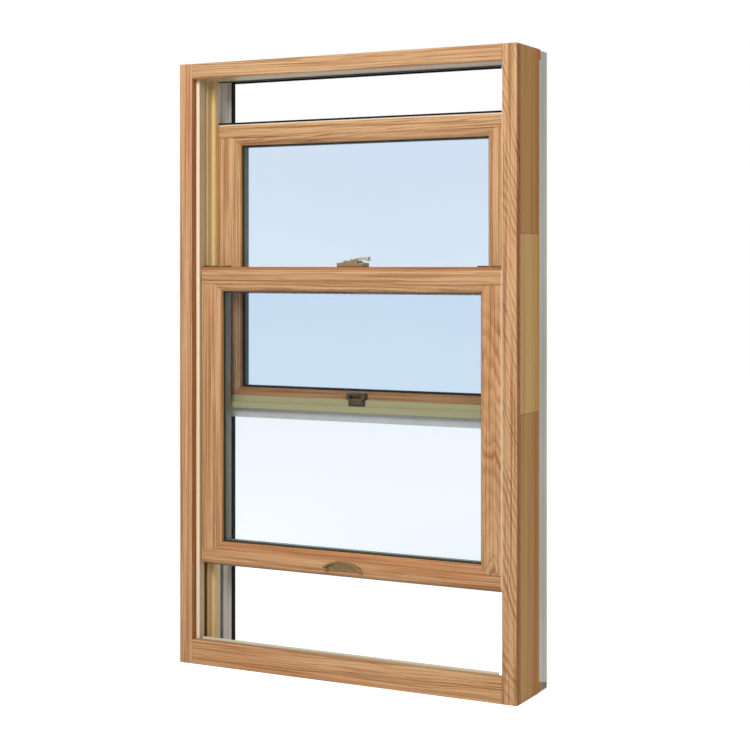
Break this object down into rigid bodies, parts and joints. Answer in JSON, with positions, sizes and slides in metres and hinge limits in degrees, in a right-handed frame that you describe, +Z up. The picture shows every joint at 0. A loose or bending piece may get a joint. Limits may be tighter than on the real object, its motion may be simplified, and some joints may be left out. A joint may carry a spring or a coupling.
{
  "type": "sash window",
  "caption": "Double-hung sash window in its frame: oak inside, aluminium outside, double glazed, with a cam lock, a finger lift and tilt latches. Both sashes slide.",
  "frame": {"origin": "middle of the window's foot, half way through its depth", "axes": "+X to the right seen from the room, +Y out of doors, +Z up"},
  "size_m": [0.664, 0.133, 1.09],
  "materials": {
    "oak": "clear satin varnish",
    "pine": "bare planed wood",
    "beige_vinyl": "extruded, satin",
    "cream_vinyl": "extruded, satin",
    "gold_stop": "extruded, satin",
    "grey_aluminium": "satin paint",
    "black_seal": "dull black",
    "clear_glass": "clear float glass",
    "plain_metal": "mill finish",
    "aged_brass": "brushed, darkened"
  },
  "bodies": {
    "frame": {"left_jamb": "pine", "right_jamb": "pine", "head_jamb": "pine", "sill": "pine", "left_face_trim": "oak", "right_face_trim": "oak", "head_face_trim": "oak", "sill_face_trim": "oak", "left_liner": "beige_vinyl", "right_liner": "beige_vinyl", "left_track_cover": "beige_vinyl", "right_track_cover": "beige_vinyl", "left_parting_stop": "gold_stop", "right_parting_stop": "gold_stop", "head_liner": "beige_vinyl", "sill_stop": "cream_vinyl", "left_cladding": "grey_aluminium", "right_cladding": "grey_aluminium", "head_cladding": "grey_aluminium", "sill_cladding": "grey_aluminium", "frame_weatherstrip": "black_seal", "lower_balance_tubes": "plain_metal", "upper_balance_tubes": "plain_metal"},
    "lower_sash": {"lower_top_rail": "oak", "lower_bottom_rail": "oak", "lower_left_stile": "oak", "lower_right_stile": "oak", "lower_inner_pane": "clear_glass", "lower_outer_pane": "clear_glass", "lower_spacer": "plain_metal", "lower_gasket": "black_seal", "lower_cladding": "grey_aluminium", "lower_bottom_seal": "cream_vinyl", "lower_left_shoe": "plain_metal", "lower_right_shoe": "plain_metal", "lower_latch_housings": "aged_brass", "lock_base": "aged_brass", "lift_handle": "aged_brass"},
    "upper_sash": {"upper_top_rail": "oak", "upper_bottom_rail": "oak", "upper_left_stile": "oak", "upper_right_stile": "oak", "upper_inner_pane": "clear_glass", "upper_outer_pane": "clear_glass", "upper_spacer": "plain_metal", "upper_gasket": "black_seal", "upper_cladding": "grey_aluminium", "upper_top_seal": "black_seal", "upper_interlock": "beige_vinyl", "keeper": "aged_brass", "upper_left_shoe": "plain_metal", "upper_right_shoe": "plain_metal", "upper_latch_housings": "aged_brass"},
    "lock_lever": {"lock_lever": "aged_brass"},
    "lower_left_bolt": {"lower_left_bolt": "aged_brass"},
    "lower_right_bolt": {"lower_right_bolt": "aged_brass"},
    "upper_left_bolt": {"upper_left_bolt": "aged_brass"},
    "upper_right_bolt": {"upper_right_bolt": "aged_brass"}
  },
  "joints": [
    {"name": "lower_sash_slide", "type": "slide", "parent": "frame", "child": "lower_sash", "axis": [0, 0, 1], "range_m": [-0.1417, 0.3208]},
    {"name": "upper_sash_slide", "type": "slide", "parent": "frame", "child": "upper_sash", "axis": [0, 0, 1], "range_m": [-0.3862, 0.0923]},
    {"name": "lock_lever_turn", "type": "hinge", "parent": "lower_sash", "child": "lock_lever", "pos_m": [0.0043, -0.0205, 0.7253], "axis": [0, 0, 1], "range_deg": [-120, 0]},
    {"name": "lower_left_bolt_slide", "type": "slide", "parent": "lower_sash", "child": "lower_left_bolt", "axis": [1, 0, 0], "range_m": [0, 0.008], "stiffness_N_per_m": 300, "springref_m": -0.006},
    {"name": "lower_right_bolt_slide", "type": "slide", "parent": "lower_sash", "child": "lower_right_bolt", "axis": [-1, 0, 0], "range_m": [0, 0.008], "stiffness_N_per_m": 300, "springref_m": -0.006},
    {"name": "upper_left_bolt_slide", "type": "slide", "parent": "upper_sash", "child": "upper_left_bolt", "axis": [1, 0, 0], "range_m": [0, 0.008], "stiffness_N_per_m": 300, "springref_m": -0.006},
    {"name": "upper_right_bolt_slide", "type": "slide", "parent": "upper_sash", "child": "upper_right_bolt", "axis": [-1, 0, 0], "range_m": [0, 0.008], "stiffness_N_per_m": 300, "springref_m": -0.006}
  ]
}
